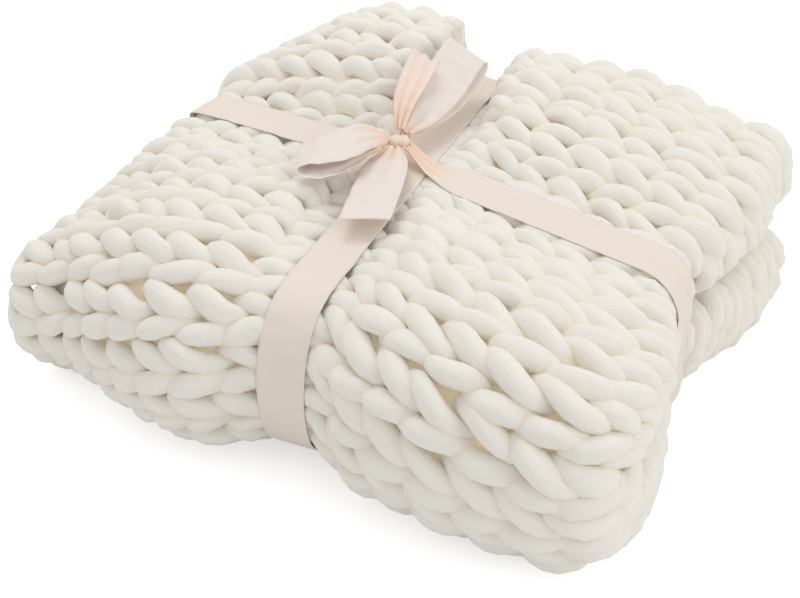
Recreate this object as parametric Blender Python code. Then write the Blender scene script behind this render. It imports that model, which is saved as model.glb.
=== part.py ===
"""A chunky knit blanket, folded in quarters and tied crosswise with a ribbon and a bow.

Frame: metres, +Z up. X runs along the knit's braids and Y across them. The blanket is folded in
half at +X, then in half again at -Y, so +X shows two fold bulges, one over the other, and -Y shows
one big round fold. The origin is under the middle of the bundle, on the surface it rests on.
"""
import math

import bmesh
import bpy
from mathutils import Vector

# The cloth: a stockinette knit in very thick yarn. With its loops, one ply is over two yarns thick.
PLY = 0.040
PLY_GAP = 0.006
FOLD_X = 0.225
FOLD_Y = -0.128
LEFT_EDGE = -0.252
BACK_EDGE = 0.208
ROLL_SQUARENESS = 0.62

# Radii of the two folds, to the middle of what is folded, and the lengths that follow.
FIRST_RADIUS = (PLY + PLY_GAP) / 2
SECOND_RADIUS = PLY + PLY_GAP
STACK = 4 * PLY + 3 * PLY_GAP
CENTRE_Z = STACK / 2
BACK_RUN = BACK_EDGE - FOLD_Y
OUTER_TURN = math.pi / 2 * (SECOND_RADIUS + FIRST_RADIUS)
INNER_TURN = math.pi / 2 * (SECOND_RADIUS - FIRST_RADIUS)
OUTER_SHARE = OUTER_TURN / (OUTER_TURN + BACK_RUN)
INNER_SHARE = INNER_TURN / (INNER_TURN + BACK_RUN)
HALF_CREST = math.pi / 2 * FIRST_RADIUS
HALF_LENGTH = HALF_CREST + FOLD_X - LEFT_EDGE

# The ribbon, and how its two turns draw the bundle in.
RIBBON_WIDTH = 0.039
RIBBON_THICK = 0.001
RIBBON_CLEAR = 0.002
BAND_X = -0.014
BAND_SLANT = -0.09
BAND_Y = 0.013
BAND_Y_SLANT = -0.11
BAND_STEPS = 80
BAND_CLOSEST = 0.0012
VALLEY_FLAT = 0.024
VALLEY_REACH = 0.075
VALLEY_FRONT_REACH = 0.110
VALLEY_DEPTH = 0.020
VALLEY_HOLD = 0.8
# Towards the back edge the valley closes to a notch between two full mounds.
NOTCH_ASIDE = 0.004
NOTCH_NARROWER = 0.039
NOTCH_SHARPER = 0.004
NOTCH_DEEPER = 0.005
LEFT_NARROWER = 0.012
GROOVE_REACH = 0.050
GROOVE_DEPTH = 0.012
WAIST = 0.018
LOWER_FOLD_OUT = 0.014

# How the quarters of the bundle puff out or droop: each row pushes what is near its centre,
# over its reach, by the push given, and lifts the top there by the rise.
PUSHES = (
    # name, x, y, reach along x, reach along y, push x, push y, rise
    ("back left crown", -0.110, 0.160, 0.125, 0.110, 0.000, 0.006, 0.041),
    ("back left corner", -0.280, 0.230, 0.090, 0.090, 0.018, -0.008, -0.020),
    ("back right crown", 0.095, 0.160, 0.085, 0.080, 0.000, 0.008, 0.021),
    ("back right corner", 0.240, 0.200, 0.080, 0.080, -0.010, -0.006, 0.005),
    ("left end", -0.280, -0.070, 0.080, 0.100, -0.010, 0.000, -0.055),
    ("front left corner", -0.280, -0.200, 0.090, 0.100, 0.000, -0.004, -0.045),
    ("front left", -0.090, -0.220, 0.090, 0.080, 0.000, -0.036, -0.004),
    ("front right", 0.130, -0.210, 0.110, 0.100, 0.004, -0.030, 0.000),
    ("front right corner", 0.250, -0.230, 0.070, 0.080, 0.000, -0.012, -0.012),
    ("right end", 0.260, 0.020, 0.070, 0.200, 0.000, 0.000, -0.019),
    ("right waist", 0.280, 0.040, 0.090, 0.070, -0.026, 0.000, 0.000),
    ("left end of the back mound", -0.262, 0.150, 0.055, 0.085, 0.000, 0.000, -0.026),
)

# The middle of the finished bundle's box, in the frame the folds are measured in. Every object
# is placed by it, so that the origin is under the middle.
MIDDLE = Vector((0.0043, -0.0195, 0))

BLANKET_COLOUR = (0.85, 0.83, 0.79)
RIBBON_COLOUR = (0.86, 0.74, 0.69)
UP = Vector((0, 0, 1))


def smooth(start, end, value):
    """0 up to the start, 1 from the end on, with a soft rise between them."""
    t = min(max((value - start) / (end - start), 0.0), 1.0)
    return t * t * (3 - 2 * t)


def fold_point(s, v, n):
    """The folded place of a point of the flat cloth.

    s runs along the braids, 0 on the first fold's crest and positive in the outer plies.
    v runs across them from -1 to 1, 0 on the second fold's crest and positive in the top plies.
    n is the height over the middle of the ply, positive on the knit face.
    """
    if abs(s) <= HALF_CREST:
        turn = s / FIRST_RADIUS
        x = FOLD_X + (FIRST_RADIUS + n) * math.cos(turn)
        q = (FIRST_RADIUS + n) * math.sin(turn)
    else:
        x = FOLD_X - (abs(s) - HALF_CREST)
        q = math.copysign(FIRST_RADIUS + n, s)
    # The inner plies need less of the cloth's width to go round the second fold.
    share = INNER_SHARE + (OUTER_SHARE - INNER_SHARE) * smooth(-0.25, 0.0, s)
    if abs(v) <= share:
        turn = math.pi / 2 * v / share
        y = FOLD_Y - (SECOND_RADIUS + q) * max(math.cos(turn), 0.0) ** ROLL_SQUARENESS
        z = CENTRE_Z + (SECOND_RADIUS + q) * math.sin(turn)
    else:
        y = FOLD_Y + BACK_RUN * (abs(v) - share) / (1 - share)
        z = CENTRE_Z + math.copysign(SECOND_RADIUS + q, v)
    return x, y, z


def pressed(offset, reach, flat=VALLEY_FLAT):
    """1 under the ribbon, falling to 0 at the reach on both sides of it."""
    return 1 - smooth(flat, reach, abs(offset))


def settle(x, y, z):
    """Draws the plain quarter fold into the uneven, tied and settled bundle."""
    level = z / STACK
    off_x = x - BAND_X - BAND_SLANT * y
    off_y = y - BAND_Y - BAND_Y_SLANT * x
    back = smooth(0.05, 0.17, y)
    tie_x = pressed(off_x - NOTCH_ASIDE * back, VALLEY_REACH - NOTCH_NARROWER * back,
                    VALLEY_FLAT - NOTCH_SHARPER * back)
    back_reach = VALLEY_REACH - LEFT_NARROWER * smooth(-0.12, -0.22, x)
    tie_y = pressed(off_y, back_reach if off_y > 0 else VALLEY_FRONT_REACH)
    valley = max(tie_x, tie_y)
    groove = max(pressed(off_x, GROOVE_REACH), pressed(off_y, GROOVE_REACH))
    push_x = push_y = rise = 0.0
    for _, at_x, at_y, reach_x, reach_y, by_x, by_y, lift in PUSHES:
        near = math.exp(-((x - at_x) / reach_x) ** 2 - ((y - at_y) / reach_y) ** 2)
        push_x += by_x * near
        push_y += by_y * near
        rise += lift * near
    rise = rise * (1 - VALLEY_HOLD * valley) - VALLEY_DEPTH * valley - NOTCH_DEEPER * back * tie_x
    out_x = (x / 0.27) ** 3
    out_y = (y / 0.21) ** 3
    push_x += LOWER_FOLD_OUT * (1 - level) * max(out_x, 0.0) * smooth(0.03, 0.22, y)
    push_x -= WAIST * tie_y * out_x
    push_y -= WAIST * tie_x * out_y
    return Vector((x + push_x, y + push_y, z + rise * level + GROOVE_DEPTH * groove * (1 - level) ** 2))


def make_object(name, verts, faces, colour, roughness):
    """A named object with faces pointing out and a material of its own."""
    mesh = bpy.data.meshes.new(name)
    mesh.from_pydata(verts, [], faces)
    bm = bmesh.new()
    bm.from_mesh(mesh)
    bmesh.ops.recalc_face_normals(bm, faces=bm.faces)
    bm.to_mesh(mesh)
    bm.free()
    mesh.shade_smooth()
    material = bpy.data.materials.new(name)
    material.use_nodes = True
    shader = material.node_tree.nodes["Principled BSDF"]
    shader.inputs["Base Color"].default_value = (*colour, 1)
    shader.inputs["Roughness"].default_value = roughness
    shader.inputs["Metallic"].default_value = 0
    mesh.materials.append(material)
    thing = bpy.data.objects.new(name, mesh)
    thing.location = -MIDDLE
    bpy.context.collection.objects.link(thing)
    return thing


def spread(low, high, steps):
    """Even steps from low up to, but not including, high."""
    return [low + (high - low) * i / steps for i in range(steps)]


def blanket_object():
    """The blanket: one piece of cloth, its grid closer where it goes round the folds."""
    lines = spread(-HALF_LENGTH, -HALF_CREST, 8) + spread(-HALF_CREST, HALF_CREST, 8)
    lines += spread(HALF_CREST, HALF_LENGTH, 16) + [HALF_LENGTH]
    columns = spread(-1, -OUTER_SHARE, 13) + spread(-OUTER_SHARE, OUTER_SHARE, 12)
    columns += spread(OUTER_SHARE, 1, 13) + [1]
    verts = [settle(*fold_point(s, v, side * PLY / 2)) for side in (1, -1) for s in lines for v in columns]
    wide = len(columns)
    layer = len(lines) * wide
    faces = []
    for i in range(len(lines) - 1):
        for j in range(wide - 1):
            a = i * wide + j
            faces.append((a, a + 1, a + wide + 1, a + wide))
            faces.append((layer + a, layer + a + wide, layer + a + wide + 1, layer + a + 1))
    rim = list(range(wide))
    rim += [i * wide + wide - 1 for i in range(1, len(lines))]
    rim += [(len(lines) - 1) * wide + j for j in range(wide - 2, -1, -1)]
    rim += [i * wide for i in range(len(lines) - 2, 0, -1)]
    for a, b in zip(rim, rim[1:] + rim[:1]):
        faces.append((b, a, layer + a, layer + b))
    return make_object("blanket", verts, faces, BLANKET_COLOUR, 0.9)


def section_points(things, middle, along, half_width):
    """Every corner of the things' section inside a flat lane, as (run along it, height)."""
    across = along.cross(UP)
    points = []
    for thing in things:
        corners = [vert.co - middle for vert in thing.data.vertices]
        for edge in thing.data.edges:
            a, b = (corners[k] for k in edge.vertices)
            side_a, side_b = a.dot(across), b.dot(across)
            for lane in (-half_width, half_width):
                if (side_a - lane) * (side_b - lane) < 0:
                    cut = a.lerp(b, (lane - side_a) / (side_b - side_a))
                    points.append((cut.dot(along), cut.z))
            points += [(c.dot(along), c.z) for c in (a, b) if abs(c.dot(across)) <= half_width]
    return points


def convex_outline(points):
    """The corners of the convex outline round flat points, in order."""
    ordered = sorted(set(points))
    outline = []
    for run in (ordered, ordered[::-1]):
        side = []
        for p in run:
            while len(side) > 1:
                a, b = side[-2], side[-1]
                if (b[0] - a[0]) * (p[1] - a[1]) - (b[1] - a[1]) * (p[0] - a[0]) > 0:
                    break
                side.pop()
            side.append(p)
        outline += side[:-1]
    return outline


def taut_turn(things, middle, along):
    """A taut ribbon's turn round the things: it pulls straight over every hollow.

    Gives (point, outward direction) rows on the middle line of its inner face, from over the
    middle of the top, down at the end that along points to, and back underneath.
    """
    outline = convex_outline(section_points(things, middle, along, RIBBON_WIDTH / 2 + RIBBON_CLEAR))
    route = []
    for degree in range(361):
        turn = math.pi - math.radians(degree)
        out = (math.cos(turn), math.sin(turn))
        far = max(outline, key=lambda p: p[0] * out[0] + p[1] * out[1])
        route.append((far[0] + RIBBON_CLEAR * out[0], far[1] + RIBBON_CLEAR * out[1]))
    reached = [0.0]
    for a, b in zip(route, route[1:]):
        reached.append(reached[-1] + math.dist(a, b))
    round_trip = reached.pop()
    top = next(k for k, (a, b) in enumerate(zip(route, route[1:])) if a[0] <= 0 < b[0])
    start = reached[top] - route[top][0] / (route[top + 1][0] - route[top][0]) * (
        reached[top + 1] - reached[top])
    # Even steps from the start, with closer ones wherever the route turns a corner.
    stops = [round_trip * step / BAND_STEPS for step in range(BAND_STEPS)]
    for place in reached:
        place = (place - start) % round_trip
        if all(BAND_CLOSEST < abs(place - other) < round_trip - BAND_CLOSEST for other in stops):
            stops.append(place)
    points = []
    for stop in sorted(stops):
        place = (start + stop) % round_trip
        leg = max(k for k in range(len(reached)) if reached[k] <= place)
        a, b = route[leg], route[leg + 1]
        part = (place - reached[leg]) / max(math.dist(a, b), 1e-9)
        run = a[0] + (b[0] - a[0]) * part
        height = a[1] + (b[1] - a[1]) * part
        points.append(middle + along * run + UP * height)
    rows = []
    for i, point in enumerate(points):
        tangent = (points[(i + 1) % len(points)] - points[i - 1]).normalized()
        rows.append((point, along.cross(UP).cross(tangent)))
    return rows


def ribbon_section(point, across, out, width):
    """The four corners of a ribbon's section at a point of its inner face."""
    half = across * (width / 2)
    lift = out * RIBBON_THICK
    return [point - half, point + half, point + half + lift, point - half + lift]


def ribbon_object(name, sections, closed):
    """A ribbon through its sections, as a full turn or with two cut ends."""
    count = len(sections)
    faces = []
    for i in range(count if closed else count - 1):
        a = 4 * i
        b = 4 * ((i + 1) % count)
        for k in range(4):
            faces.append((a + k, a + (k + 1) % 4, b + (k + 1) % 4, b + k))
    if not closed:
        faces += [(3, 2, 1, 0), tuple(4 * (count - 1) + k for k in range(4))]
    return make_object(name, [corner for row in sections for corner in row], faces, RIBBON_COLOUR, 0.6)


for old in list(bpy.data.objects):
    bpy.data.objects.remove(old, do_unlink=True)

blanket = blanket_object()

# Ribbon, front to back: a full turn, flat under the knot.
along_y = Vector((BAND_SLANT, 1, 0)).normalized()
rows_y = taut_turn([blanket], Vector((BAND_X, 0, CENTRE_Z)), along_y)
sections_y = [ribbon_section(point, along_y.cross(UP), out, RIBBON_WIDTH) for point, out in rows_y]
band_y = ribbon_object("ribbon_band_y", sections_y, True)

# Knot: small and tight, over the crossing, drawn in round its waist.
KNOT_X = -0.026
KNOT_Y = 0.018
KNOT_SIZE = Vector((0.018, 0.016, 0.012))
KNOT_WAIST = 0.22
under_knot = max(point.z for point, _ in rows_y if abs(point.y - KNOT_Y) < 0.03)
knot = Vector((KNOT_X, KNOT_Y, under_knot + RIBBON_THICK + RIBBON_CLEAR + KNOT_SIZE.z / 2))
bm = bmesh.new()
bmesh.ops.create_uvsphere(bm, u_segments=16, v_segments=8, radius=0.5)
for vert in bm.verts:
    waist = 1 - KNOT_WAIST * math.exp(-(vert.co.x / 0.16) ** 2)
    vert.co.y *= waist
    vert.co.z *= waist
    vert.co = knot + vert.co * KNOT_SIZE
knot_verts = [vert.co[:] for vert in bm.verts]
knot_faces = [[vert.index for vert in face.verts] for face in bm.faces]
bm.free()
make_object("ribbon_knot", knot_verts, knot_faces, RIBBON_COLOUR, 0.6)

# Ribbon, left to right: from the knot, round the bundle and back, gathered where the knot grips it.
GATHERED = 0.011
GATHER_RUN = 0.065
KNOT_REACH = KNOT_SIZE.x / 2 + 0.001
KNOT_DROP = 0.003
along_x = Vector((1, BAND_Y_SLANT, 0)).normalized()
crossing_y = BAND_Y + BAND_Y_SLANT * KNOT_X
rows_x = taut_turn([blanket, band_y], Vector((KNOT_X, crossing_y, CENTRE_Z)), along_x)
sections_x = []
for point, out in rows_x:
    from_knot = abs(point.x - KNOT_X) if point.z > CENTRE_Z else GATHER_RUN
    if from_knot < KNOT_REACH:
        continue
    free = smooth(KNOT_REACH, GATHER_RUN, from_knot)
    lifted = 1 - smooth(KNOT_REACH, GATHER_RUN / 2, from_knot)
    place = point.copy()
    place.y += (KNOT_Y - crossing_y) * (1 - free)
    place.z += (knot.z - KNOT_DROP - place.z) * lifted
    width = GATHERED + (RIBBON_WIDTH - GATHERED) * free
    sections_x.append(ribbon_section(place, along_x.cross(UP), out, width))
ribbon_object("ribbon_band_x", sections_x, False)

# Bow: each strip's rows are places from the knot, the width there, and the way its width lies,
# as a turn from +X and a tilt up from the level.
LOOP_LEFT = (
    # x, y, z, width, turn, tilt
    (-0.008, -0.007, 0.003, 0.010, 132, 0),
    (-0.013, -0.024, 0.012, 0.028, 128, 10),
    (-0.020, -0.048, 0.016, 0.038, 126, 14),
    (-0.037, -0.065, 0.013, 0.039, 124, 4),
    (-0.050, -0.075, 0.008, 0.039, 122, -3),
    (-0.042, -0.079, 0.003, 0.039, 122, -3),
    (-0.022, -0.063, 0.003, 0.036, 122, 0),
    (-0.011, -0.032, 0.003, 0.024, 126, 0),
    (-0.010, -0.009, 0.000, 0.009, 132, 0),
)
LOOP_BACK = (
    (-0.001, 0.010, 0.003, 0.012, 7, -10),
    (0.000, 0.032, 0.012, 0.034, 12, -24),
    (0.001, 0.072, 0.019, 0.039, 14, -30),
    (-0.002, 0.118, 0.029, 0.039, 14, -32),
    (-0.002, 0.130, 0.027, 0.039, 14, -32),
    (0.000, 0.120, 0.020, 0.039, 14, -32),
    (0.003, 0.072, 0.011, 0.038, 14, -28),
    (0.002, 0.032, 0.005, 0.026, 12, -16),
    (-0.001, 0.010, 0.000, 0.010, 7, 0),
)
TAIL_FRONT = (
    (0.001, -0.010, -0.001, 0.012, 15, 0),
    (0.005, -0.030, -0.005, 0.034, 20, 0),
    (0.018, -0.068, -0.005, 0.039, 24, 0),
    (0.033, -0.113, -0.005, 0.039, 26, 0),
)
TAIL_BACK = (
    (-0.004, 0.007, 0.007, 0.008, 14, -10),
    (-0.009, 0.024, 0.023, 0.018, 14, -20),
    (-0.014, 0.052, 0.033, 0.024, 14, -20),
    (-0.018, 0.079, 0.040, 0.026, 14, -20),
)


def curve_through(rows, part):
    """The row at a part, 0 to 1, of the smooth curve through the rows."""
    place = part * (len(rows) - 1)
    k = min(int(place), len(rows) - 2)
    t = place - k
    p0, p1, p2, p3 = (rows[min(max(k + i, 0), len(rows) - 1)] for i in (-1, 0, 1, 2))
    return [0.5 * (2 * b + (c - a) * t + (2 * a - 5 * b + 4 * c - d) * t ** 2
                   + (3 * b - a - 3 * c + d) * t ** 3) for a, b, c, d in zip(p0, p1, p2, p3)]


def bow_strip(name, rows, steps):
    """A loop or tail of the bow, its middle on the smooth curve through its rows."""
    sections = []
    for i in range(steps + 1):
        x, y, z, width, turn, tilt = curve_through(rows, i / steps)
        ahead = Vector(curve_through(rows, min(i / steps + 0.01, 1))[:3])
        behind = Vector(curve_through(rows, max(i / steps - 0.01, 0))[:3])
        turn = math.radians(turn)
        tilt = math.radians(tilt)
        level = Vector((math.cos(turn), math.sin(turn), 0))
        across = level * math.cos(tilt) + UP * math.sin(tilt)
        out = across.cross(ahead - behind).normalized()
        inner = knot + Vector((x, y, z)) - out * RIBBON_THICK / 2
        sections.append(ribbon_section(inner, across, out, width))
    return ribbon_object(name, sections, False)


bow_strip("ribbon_loop_left", LOOP_LEFT, 40)
bow_strip("ribbon_loop_back", LOOP_BACK, 40)
bow_strip("ribbon_tail_front", TAIL_FRONT, 16)
bow_strip("ribbon_tail_back", TAIL_BACK, 16)
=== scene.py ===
import math

import bpy
import numpy as np
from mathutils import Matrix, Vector
from mathutils.kdtree import KDTree


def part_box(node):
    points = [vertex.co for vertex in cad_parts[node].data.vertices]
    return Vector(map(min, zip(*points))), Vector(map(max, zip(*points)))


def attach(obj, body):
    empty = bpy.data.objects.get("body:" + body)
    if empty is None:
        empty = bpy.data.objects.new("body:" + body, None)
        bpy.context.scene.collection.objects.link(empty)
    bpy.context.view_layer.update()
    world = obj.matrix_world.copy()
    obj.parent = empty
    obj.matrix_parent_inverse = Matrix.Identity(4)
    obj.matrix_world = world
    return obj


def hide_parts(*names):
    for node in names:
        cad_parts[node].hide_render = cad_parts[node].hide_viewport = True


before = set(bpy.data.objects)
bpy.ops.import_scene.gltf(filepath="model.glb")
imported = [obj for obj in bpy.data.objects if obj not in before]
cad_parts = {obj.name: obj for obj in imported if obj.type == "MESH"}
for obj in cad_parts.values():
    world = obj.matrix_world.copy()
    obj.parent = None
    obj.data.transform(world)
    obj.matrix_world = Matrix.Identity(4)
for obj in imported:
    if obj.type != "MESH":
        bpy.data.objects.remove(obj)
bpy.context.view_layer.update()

bpy.ops.object.select_all(action="DESELECT")

# ---------------------------------------------------------------------------
# The studio: a long pale floor in even daylight, with one big soft light high
# on the left and a weaker one on the right, and the camera above a corner.
FLOOR_SIZE = 12.0
FLOOR_COLOUR = (0.93, 0.93, 0.93)

bpy.ops.mesh.primitive_plane_add(size=FLOOR_SIZE, location=(0, 0, -0.0005))
floor = bpy.context.object
floor.name = "studio_floor"
floor_material = bpy.data.materials.new("pale_floor")
floor_material.use_nodes = True
floor_shader = floor_material.node_tree.nodes["Principled BSDF"]
floor_shader.inputs["Base Color"].default_value = (*FLOOR_COLOUR, 1)
floor_shader.inputs["Roughness"].default_value = 0.9
floor_shader.inputs["Specular IOR Level"].default_value = 0.1
floor_shader.inputs["Emission Color"].default_value = (1, 1, 1, 1)
floor_links = floor_material.node_tree.links
ray = floor_material.node_tree.nodes.new("ShaderNodeLightPath")
glow = floor_material.node_tree.nodes.new("ShaderNodeMath")
glow.operation = "MULTIPLY"
glow.inputs[1].default_value = 0.50
floor_links.new(ray.outputs["Is Camera Ray"], glow.inputs[0])
floor_links.new(glow.outputs["Value"], floor_shader.inputs["Emission Strength"])
floor.data.materials.append(floor_material)

world = bpy.data.worlds.new("daylight")
bpy.context.scene.world = world
world.use_nodes = True
world.node_tree.nodes["Background"].inputs["Color"].default_value = (1.0, 1.0, 1.0, 1)
world.node_tree.nodes["Background"].inputs["Strength"].default_value = 0.70


def soft_light(name, place, target, size, power, colour):
    """A square studio light of that size, turned to its target."""
    data = bpy.data.lights.new(name, "AREA")
    data.energy = power
    data.size = size
    data.color = colour
    light = bpy.data.objects.new(name, data)
    light.location = place
    light.rotation_euler = (Vector(target) - Vector(place)).to_track_quat("-Z", "Y").to_euler()
    bpy.context.collection.objects.link(light)
    return light


soft_light("key_light", (-0.7, 0.5, 1.9), (0, 0, 0.08), 0.9, 9, (1.0, 0.985, 0.96))
soft_light("fill_light", (1.9, 0.1, 1.2), (0, 0, 0.08), 1.6, 8, (1.0, 0.99, 0.97))

VIEW_TARGET = Vector((-0.0043, 0.0195, 0.09))
VIEW_TURN = math.radians(28.74)
VIEW_RISE = math.radians(32.7)
VIEW_DISTANCE = 1.2
camera_data = bpy.data.cameras.new("camera")
camera_data.lens = 64.35
camera_data.sensor_width = 36.0
camera_data.shift_x = -0.021
camera_data.shift_y = -0.0605
camera = bpy.data.objects.new("camera", camera_data)
toward = Vector((math.sin(VIEW_TURN) * math.cos(VIEW_RISE), -math.cos(VIEW_TURN) * math.cos(VIEW_RISE),
                 math.sin(VIEW_RISE)))
camera.location = VIEW_TARGET + toward * VIEW_DISTANCE
camera.rotation_euler = (-toward).to_track_quat("-Z", "Y").to_euler()
bpy.context.collection.objects.link(camera)
bpy.context.scene.camera = camera
bpy.context.scene.view_settings.view_transform = "Standard"

# ---------------------------------------------------------------------------
# The blanket: stockinette knitted by hand in one very thick, loosely spun wool
# yarn, folded in half at the right and in half again at the front. Its braids
# run along X on the folded top, and each course of stitches runs across them.
PLY = 0.040
PLY_GAP = 0.006
FOLD_X = 0.225
FOLD_Y = -0.128
LEFT_EDGE = -0.252
BACK_EDGE = 0.208
ROLL_SQUARENESS = 0.62
FIRST_RADIUS = (PLY + PLY_GAP) / 2
SECOND_RADIUS = PLY + PLY_GAP
STACK = 4 * PLY + 3 * PLY_GAP
BACK_RUN = BACK_EDGE - FOLD_Y
# The squarish quarter turn of the second fold, at radius 1, and the cloth's length along it.
TURNS = math.pi / 2 * (1 - np.linspace(1, 0, 2001) ** 3)
TURN_Y = np.maximum(np.cos(TURNS), 0) ** ROLL_SQUARENESS
TURN_RUN = np.concatenate([[0], np.cumsum(np.hypot(np.diff(TURN_Y), np.diff(np.sin(TURNS))))])
OUTER_TURN = TURN_RUN[-1] * (SECOND_RADIUS + FIRST_RADIUS)
INNER_TURN = TURN_RUN[-1] * (SECOND_RADIUS - FIRST_RADIUS)
OUTER_SHARE = OUTER_TURN / (OUTER_TURN + BACK_RUN)
INNER_SHARE = INNER_TURN / (INNER_TURN + BACK_RUN)
HALF_CREST = math.pi / 2 * FIRST_RADIUS
HALF_LENGTH = HALF_CREST + FOLD_X - LEFT_EDGE
BAND_X = -0.014
BAND_SLANT = -0.09
BAND_Y = 0.013
BAND_Y_SLANT = -0.11
VALLEY_FLAT = 0.024
VALLEY_REACH = 0.075
VALLEY_FRONT_REACH = 0.110
VALLEY_DEPTH = 0.020
VALLEY_HOLD = 0.8
# Towards the back edge the valley closes to a notch between two full mounds.
NOTCH_ASIDE = 0.004
NOTCH_NARROWER = 0.039
NOTCH_SHARPER = 0.004
NOTCH_DEEPER = 0.005
LEFT_NARROWER = 0.012
GROOVE_REACH = 0.050
GROOVE_DEPTH = 0.012
WAIST = 0.018
LOWER_FOLD_OUT = 0.014
PUSHES = (
    # x, y, reach x, reach y, push x, push y, rise of what is near
    (-0.110, 0.160, 0.125, 0.110, 0.000, 0.006, 0.041),
    (-0.280, 0.230, 0.090, 0.090, 0.018, -0.008, -0.020),
    (0.095, 0.160, 0.085, 0.080, 0.000, 0.008, 0.021),
    (0.240, 0.200, 0.080, 0.080, -0.010, -0.006, 0.005),
    (-0.280, -0.070, 0.080, 0.100, -0.010, 0.000, -0.055),
    (-0.280, -0.200, 0.090, 0.100, 0.000, -0.004, -0.045),
    (-0.090, -0.220, 0.090, 0.080, 0.000, -0.036, -0.004),
    (0.130, -0.210, 0.110, 0.100, 0.004, -0.030, 0.000),
    (0.250, -0.230, 0.070, 0.080, 0.000, -0.012, -0.012),
    (0.260, 0.020, 0.070, 0.200, 0.000, 0.000, -0.019),
    (0.280, 0.040, 0.090, 0.070, -0.026, 0.000, 0.000),
    (-0.262, 0.150, 0.055, 0.085, 0.000, 0.000, -0.026),
)
MIDDLE = np.array([0.0043, -0.0195, 0.0])


def smooth(start, end, value):
    """0 up to the start, 1 from the end on, with a soft rise between them."""
    t = np.clip((value - start) / (end - start), 0.0, 1.0)
    return t * t * (3 - 2 * t)


def quarter_fold(s, v, n):
    """Where the plain quarter fold puts points of the flat cloth.

    s runs along the braids from the first fold, v across them from the second fold (-1 to 1),
    and n is the height over the middle of the ply, towards the knit face.
    """
    turn = np.clip(s, -HALF_CREST, HALF_CREST) / FIRST_RADIUS
    past = np.maximum(np.abs(s) - HALF_CREST, 0)
    x = FOLD_X - past + (FIRST_RADIUS + n) * np.cos(turn)
    q = (FIRST_RADIUS + n) * np.sin(turn)
    share = INNER_SHARE + (OUTER_SHARE - INNER_SHARE) * smooth(-0.25, 0.0, s)
    turn = np.sign(v) * np.interp(np.minimum(np.abs(v) / share, 1) * TURN_RUN[-1], TURN_RUN, TURNS)
    y = FOLD_Y - (SECOND_RADIUS + q) * np.maximum(np.cos(turn), 0) ** ROLL_SQUARENESS
    y += BACK_RUN * np.maximum(np.abs(v) - share, 0) / (1 - share)
    z = STACK / 2 + (SECOND_RADIUS + q) * np.sin(turn)
    return x, y, z


def pressed(offset, reach, flat=VALLEY_FLAT):
    """1 under the ribbon, falling to 0 at the reach on both sides of it."""
    return 1 - smooth(flat, reach, np.abs(offset))


def settle(x, y, z):
    """Draws the plain fold into the uneven, tied and settled bundle, over the origin."""
    level = z / STACK
    off_x = x - BAND_X - BAND_SLANT * y
    off_y = y - BAND_Y - BAND_Y_SLANT * x
    back = smooth(0.05, 0.17, y)
    tie_x = pressed(off_x - NOTCH_ASIDE * back, VALLEY_REACH - NOTCH_NARROWER * back,
                    VALLEY_FLAT - NOTCH_SHARPER * back)
    back_reach = VALLEY_REACH - LEFT_NARROWER * smooth(-0.12, -0.22, x)
    tie_y = pressed(off_y, np.where(off_y > 0, back_reach, VALLEY_FRONT_REACH))
    valley = np.maximum(tie_x, tie_y)
    groove = np.maximum(pressed(off_x, GROOVE_REACH), pressed(off_y, GROOVE_REACH))
    push_x, push_y, rise = np.zeros_like(x), np.zeros_like(x), np.zeros_like(x)
    for at_x, at_y, reach_x, reach_y, by_x, by_y, lift in PUSHES:
        near = np.exp(-((x - at_x) / reach_x) ** 2 - ((y - at_y) / reach_y) ** 2)
        push_x += by_x * near
        push_y += by_y * near
        rise += lift * near
    rise = rise * (1 - VALLEY_HOLD * valley) - VALLEY_DEPTH * valley - NOTCH_DEEPER * back * tie_x
    out_x = (x / 0.27) ** 3
    out_y = (y / 0.21) ** 3
    push_x += LOWER_FOLD_OUT * (1 - level) * np.maximum(out_x, 0) * smooth(0.03, 0.22, y)
    push_x -= WAIST * tie_y * out_x
    push_y -= WAIST * tie_x * out_y
    lifted = z + rise * level + GROOVE_DEPTH * groove * (1 - level) ** 2
    return np.stack([x + push_x, y + push_y, lifted], -1) - MIDDLE


def cloth(s, v, n):
    """Points of the flat cloth in their place in the bundle."""
    return settle(*quarter_fold(s, v, n))


def even_steps(points):
    """How far along its length each row of points has got, from -1 over 0 in the middle to 1."""
    run = np.cumsum(np.linalg.norm(np.diff(points, axis=1), axis=2), axis=1)
    run = np.concatenate([np.zeros((len(run), 1)), run], axis=1)
    middle = run[:, run.shape[1] // 2][:, None]
    return np.where(run < middle, (run - middle) / middle, (run - middle) / (run[:, -1:] - middle))


# The stitches are the same size all over the uneven bundle, so the cloth is measured out by its
# length on the settled surface: first across the braids on every line, then along every braid.
MEASURES = 301
SPAN = np.linspace(-1, 1, MEASURES)
line_s, line_v = np.meshgrid(SPAN * HALF_LENGTH, SPAN, indexing="ij")
across_share = even_steps(cloth(line_s, line_v, np.zeros_like(line_s)))
v_table = np.array([np.interp(SPAN, share, SPAN) for share in across_share])
along_share = even_steps(cloth(line_s, v_table, np.zeros_like(line_s)).transpose(1, 0, 2))
s_table = np.array([np.interp(SPAN, share, SPAN * HALF_LENGTH) for share in along_share])


def from_table(table, row, column):
    """Values between the table's own, where row and column run from -1 to 1."""
    row = np.clip((row + 1) / 2 * (MEASURES - 1), 0, MEASURES - 1.001)
    column = np.clip((column + 1) / 2 * (MEASURES - 1), 0, MEASURES - 1.001)
    i, k = row.astype(int), column.astype(int)
    a, b = row - i, column - k
    return ((table[i, k] * (1 - b) + table[i, k + 1] * b) * (1 - a)
            + (table[i + 1, k] * (1 - b) + table[i + 1, k + 1] * b) * a)


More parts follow.
